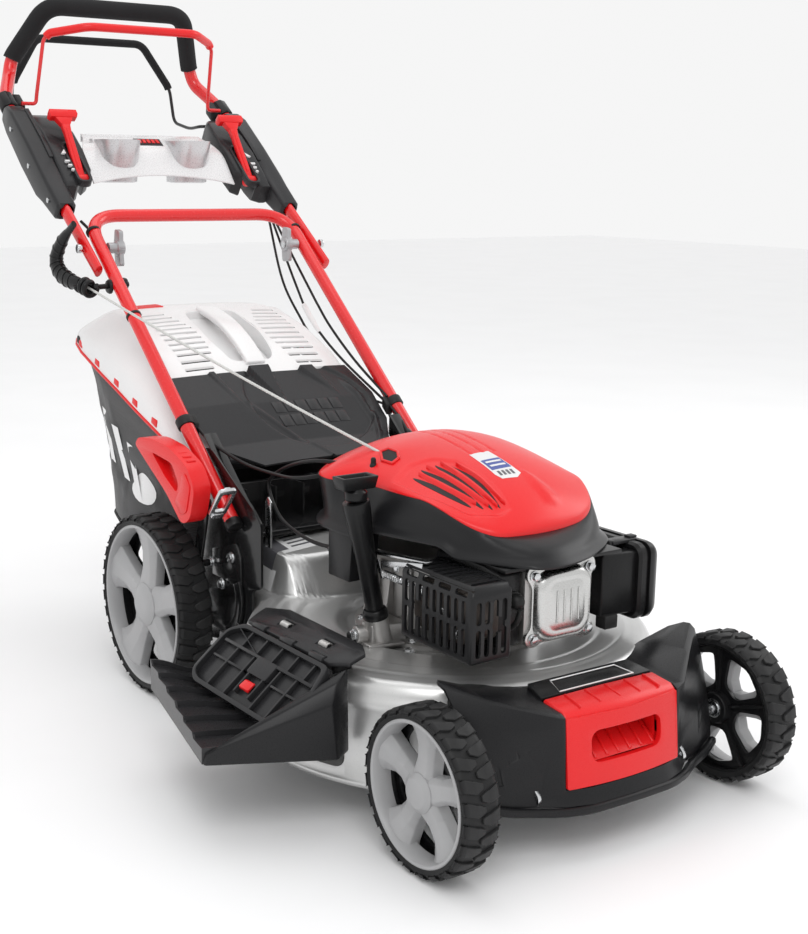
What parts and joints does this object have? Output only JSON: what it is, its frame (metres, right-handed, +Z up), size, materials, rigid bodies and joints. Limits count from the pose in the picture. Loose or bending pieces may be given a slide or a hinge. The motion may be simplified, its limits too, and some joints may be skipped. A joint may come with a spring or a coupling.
{
  "type": "petrol lawn mower",
  "caption": "Walk-behind petrol lawn mower: round steel deck, overhead valve engine, folding tube handle with two bails, rear grass catcher, side discharge chute and central height lever.",
  "frame": {"origin": "middle of the bounding box's base, on the ground under the machine", "axes": "+Y points from the front bumper back to the operator, +X to the operator's left, +Z up"},
  "size_m": [0.731, 1.578, 1.1069],
  "materials": {
    "red_paint": "gloss",
    "red_plastic": "satin",
    "silver_paint": "metallic",
    "black_steel": "satin",
    "dark_plastic": "grained",
    "grey_plastic": "satin",
    "white_plastic": "gloss",
    "aluminium": "cast",
    "steel": "zinc plated",
    "blade_steel": "hardened",
    "tyre_rubber": "tread",
    "belt_rubber": "matte",
    "foam": "closed cell foam",
    "bag_mesh": "woven mesh",
    "cable_jacket": "satin",
    "rope": "braided"
  },
  "bodies": {
    "chassis": {"deck": "silver_paint", "front_bumper": "dark_plastic", "carry_grip": "red_plastic", "rear_frame": "black_steel", "side_chute": "dark_plastic", "crankcase": "aluminium", "cylinder_head": "aluminium", "blower_housing": "dark_plastic", "engine_cover": "red_paint", "muffler": "black_steel", "muffler_guard": "black_steel", "air_filter": "dark_plastic", "carburettor": "aluminium", "fuel_tank": "dark_plastic", "oil_filler_tube": "dark_plastic", "drive_belt": "belt_rubber", "gearbox": "aluminium", "starter_rope": "rope"},
    "crank": {"crankshaft": "steel", "flywheel": "aluminium", "blade_adapter": "steel", "blade": "blade_steel"},
    "starter_pulley_body": {"starter_pulley": "dark_plastic"},
    "gearbox_pulley_body": {"gearbox_pulley": "steel"},
    "front_axle_body": {"front_axle": "steel"},
    "rear_axle_body": {"rear_axle": "steel"},
    "height_lever_body": {"height_lever": "red_plastic"},
    "lower_handle_body": {"lower_handle": "red_paint", "rope_guide": "dark_plastic", "throttle_cable": "cable_jacket", "control_cable": "cable_jacket"},
    "upper_handle_body": {"upper_handle": "red_paint", "foam_grip": "foam", "console": "white_plastic", "right_cover": "dark_plastic", "left_cover": "dark_plastic"},
    "catcher": {"catcher_lid": "white_plastic", "catcher_bag": "bag_mesh"},
    "front_right_wheel": {"front_right_tyre": "tyre_rubber", "front_right_rim": "grey_plastic"},
    "front_left_wheel": {"front_left_tyre": "tyre_rubber", "front_left_rim": "grey_plastic"},
    "rear_right_wheel": {"rear_right_tyre": "tyre_rubber", "rear_right_rim": "grey_plastic"},
    "rear_left_wheel": {"rear_left_tyre": "tyre_rubber", "rear_left_rim": "grey_plastic"},
    "engine_bail_body": {"engine_bail": "red_paint"},
    "drive_bail_body": {"drive_bail": "dark_plastic"},
    "throttle_lever_body": {"throttle_lever": "red_plastic"},
    "speed_lever_body": {"speed_lever": "red_plastic"},
    "right_knob_body": {"right_knob": "aluminium"},
    "left_knob_body": {"left_knob": "aluminium"},
    "starter_grip_body": {"starter_grip": "dark_plastic"},
    "rear_flap_body": {"rear_flap": "dark_plastic"},
    "side_flap_body": {"side_flap": "dark_plastic"},
    "flap_latch_body": {"flap_latch": "red_plastic"},
    "right_release_body": {"right_release": "steel"},
    "left_release_body": {"left_release": "steel"},
    "fuel_cap_body": {"fuel_cap": "dark_plastic"},
    "oil_dipstick_body": {"oil_dipstick": "dark_plastic"}
  },
  "joints": [
    {"name": "front_right_wheel_spin", "type": "hinge", "parent": "front_axle_body", "child": "front_right_wheel", "pos_m": [-0.1705, -0.6875, 0.1015], "axis": [1, 0, 0], "continuous": true},
    {"name": "front_left_wheel_spin", "type": "hinge", "parent": "front_axle_body", "child": "front_left_wheel", "pos_m": [0.3295, -0.6875, 0.1015], "axis": [1, 0, 0], "continuous": true},
    {"name": "rear_right_wheel_spin", "type": "hinge", "parent": "rear_axle_body", "child": "rear_right_wheel", "pos_m": [-0.1705, 0.0295, 0.14], "axis": [1, 0, 0], "continuous": true},
    {"name": "rear_left_wheel_spin", "type": "hinge", "parent": "rear_axle_body", "child": "rear_left_wheel", "pos_m": [0.3295, 0.0295, 0.14], "axis": [1, 0, 0], "continuous": true},
    {"name": "crank_spin", "type": "hinge", "parent": "chassis", "child": "crank", "pos_m": [0.0795, -0.3915, 0.176], "axis": [0, 0, 1], "continuous": true},
    {"name": "gearbox_pulley_spin", "type": "hinge", "parent": "chassis", "child": "gearbox_pulley_body", "pos_m": [0.0495, -0.0615, 0.157], "axis": [0, 0, 1], "continuous": true},
    {"name": "starter_pulley_spin", "type": "hinge", "parent": "chassis", "child": "starter_pulley_body", "pos_m": [0.0795, -0.3915, 0.369], "axis": [0, 0, 1], "continuous": true},
    {"name": "height_adjust", "type": "hinge", "parent": "chassis", "child": "height_lever_body", "pos_m": [-0.1185, -0.0475, 0.215], "axis": [1, 0, 0], "range_deg": [-20, 4]},
    {"name": "front_axle_swing", "type": "hinge", "parent": "chassis", "child": "front_axle_body", "pos_m": [0.0795, -0.7235, 0.072], "axis": [1, 0, 0], "range_deg": [-40, 8]},
    {"name": "rear_axle_swing", "type": "hinge", "parent": "chassis", "child": "rear_axle_body", "pos_m": [0.0795, -0.0065, 0.1105], "axis": [1, 0, 0], "range_deg": [-40, 8]},
    {"name": "lower_handle_fold", "type": "hinge", "parent": "chassis", "child": "lower_handle_body", "pos_m": [0.0795, -0.1125, 0.3085], "axis": [-1, 0, 0], "range_deg": [-110, 0], "deforming": ["throttle_cable", "control_cable", "starter_rope"]},
    {"name": "upper_handle_fold", "type": "hinge", "parent": "lower_handle_body", "child": "upper_handle_body", "pos_m": [0.0795, 0.3125, 0.671], "axis": [1, 0, 0], "range_deg": [0, 140]},
    {"name": "right_knob_spin", "type": "hinge", "parent": "lower_handle_body", "child": "right_knob_body", "pos_m": [-0.0955, 0.3125, 0.671], "axis": [1, 0, 0], "continuous": true},
    {"name": "left_knob_spin", "type": "hinge", "parent": "lower_handle_body", "child": "left_knob_body", "pos_m": [0.2545, 0.3125, 0.671], "axis": [1, 0, 0], "continuous": true},
    {"name": "right_release_flip", "type": "hinge", "parent": "lower_handle_body", "child": "right_release_body", "pos_m": [-0.1325, -0.1315, 0.311], "axis": [0, -0.7609, -0.6489], "range_deg": [0, 80]},
    {"name": "left_release_flip", "type": "hinge", "parent": "lower_handle_body", "child": "left_release_body", "pos_m": [0.2915, -0.1315, 0.311], "axis": [0, 0.7609, 0.6489], "range_deg": [0, 80]},
    {"name": "engine_bail_swing", "type": "hinge", "parent": "upper_handle_body", "child": "engine_bail_body", "pos_m": [0.0795, 0.6285, 0.916], "axis": [-1, 0, 0], "range_deg": [0, 30], "stiffness_Nm_per_rad": 1, "springref_deg": -22.92},
    {"name": "drive_bail_swing", "type": "hinge", "parent": "upper_handle_body", "child": "drive_bail_body", "pos_m": [0.0795, 0.6625, 0.884], "axis": [1, 0, 0], "range_deg": [0, 16], "stiffness_Nm_per_rad": 1, "springref_deg": -22.92},
    {"name": "throttle_lever_swing", "type": "hinge", "parent": "upper_handle_body", "child": "throttle_lever_body", "pos_m": [-0.0885, 0.4525, 0.781], "axis": [1, 0, 0], "range_deg": [-3, 25]},
    {"name": "speed_lever_swing", "type": "hinge", "parent": "upper_handle_body", "child": "speed_lever_body", "pos_m": [0.2475, 0.4525, 0.781], "axis": [1, 0, 0], "range_deg": [-3, 25]},
    {"name": "starter_pull", "type": "slide", "parent": "lower_handle_body", "child": "starter_grip_body", "axis": [-0.2181, 0.9371, 0.2726], "range_m": [0, 0.4], "stiffness_N_per_m": 20, "springref_m": -0.1},
    {"name": "rear_flap_swing", "type": "hinge", "parent": "chassis", "child": "rear_flap_body", "pos_m": [0.0795, -0.0325, 0.376], "axis": [-1, 0, 0], "range_deg": [-60, 0]},
    {"name": "catcher_remove", "type": "slide", "parent": "chassis", "child": "catcher", "axis": [0, -1, 0], "range_m": [-0.4, 0]},
    {"name": "side_flap_swing", "type": "hinge", "parent": "chassis", "child": "side_flap_body", "pos_m": [-0.1965, -0.4155, 0.207], "axis": [0, 1, 0], "range_deg": [0, 70], "stiffness_Nm_per_rad": 0.5, "springref_deg": -28.65},
    {"name": "flap_latch_press", "type": "slide", "parent": "side_flap_body", "child": "flap_latch_body", "axis": [0.6428, 0, -0.766], "range_m": [0, 0.004], "stiffness_N_per_m": 400, "springref_m": -0.002},
    {"name": "fuel_cap_turn", "type": "hinge", "parent": "chassis", "child": "fuel_cap_body", "pos_m": [0.1715, -0.2055, 0.342], "axis": [0, 0, 1], "range_deg": [0, 90]},
    {"name": "dipstick_pull", "type": "slide", "parent": "chassis", "child": "oil_dipstick_body", "axis": [-0.2092, 0, 0.9779], "range_m": [0, 0.15]}
  ],
  "couplings": [
    {"joint": "gearbox_pulley_spin", "follows": "crank_spin", "ratio": 1.25},
    {"joint": "front_axle_swing", "follows": "height_adjust", "ratio": 2},
    {"joint": "rear_axle_swing", "follows": "height_adjust", "ratio": 2},
    {"joint": "starter_pulley_spin", "follows": "starter_pull", "rad_per_m": 35.7}
  ]
}
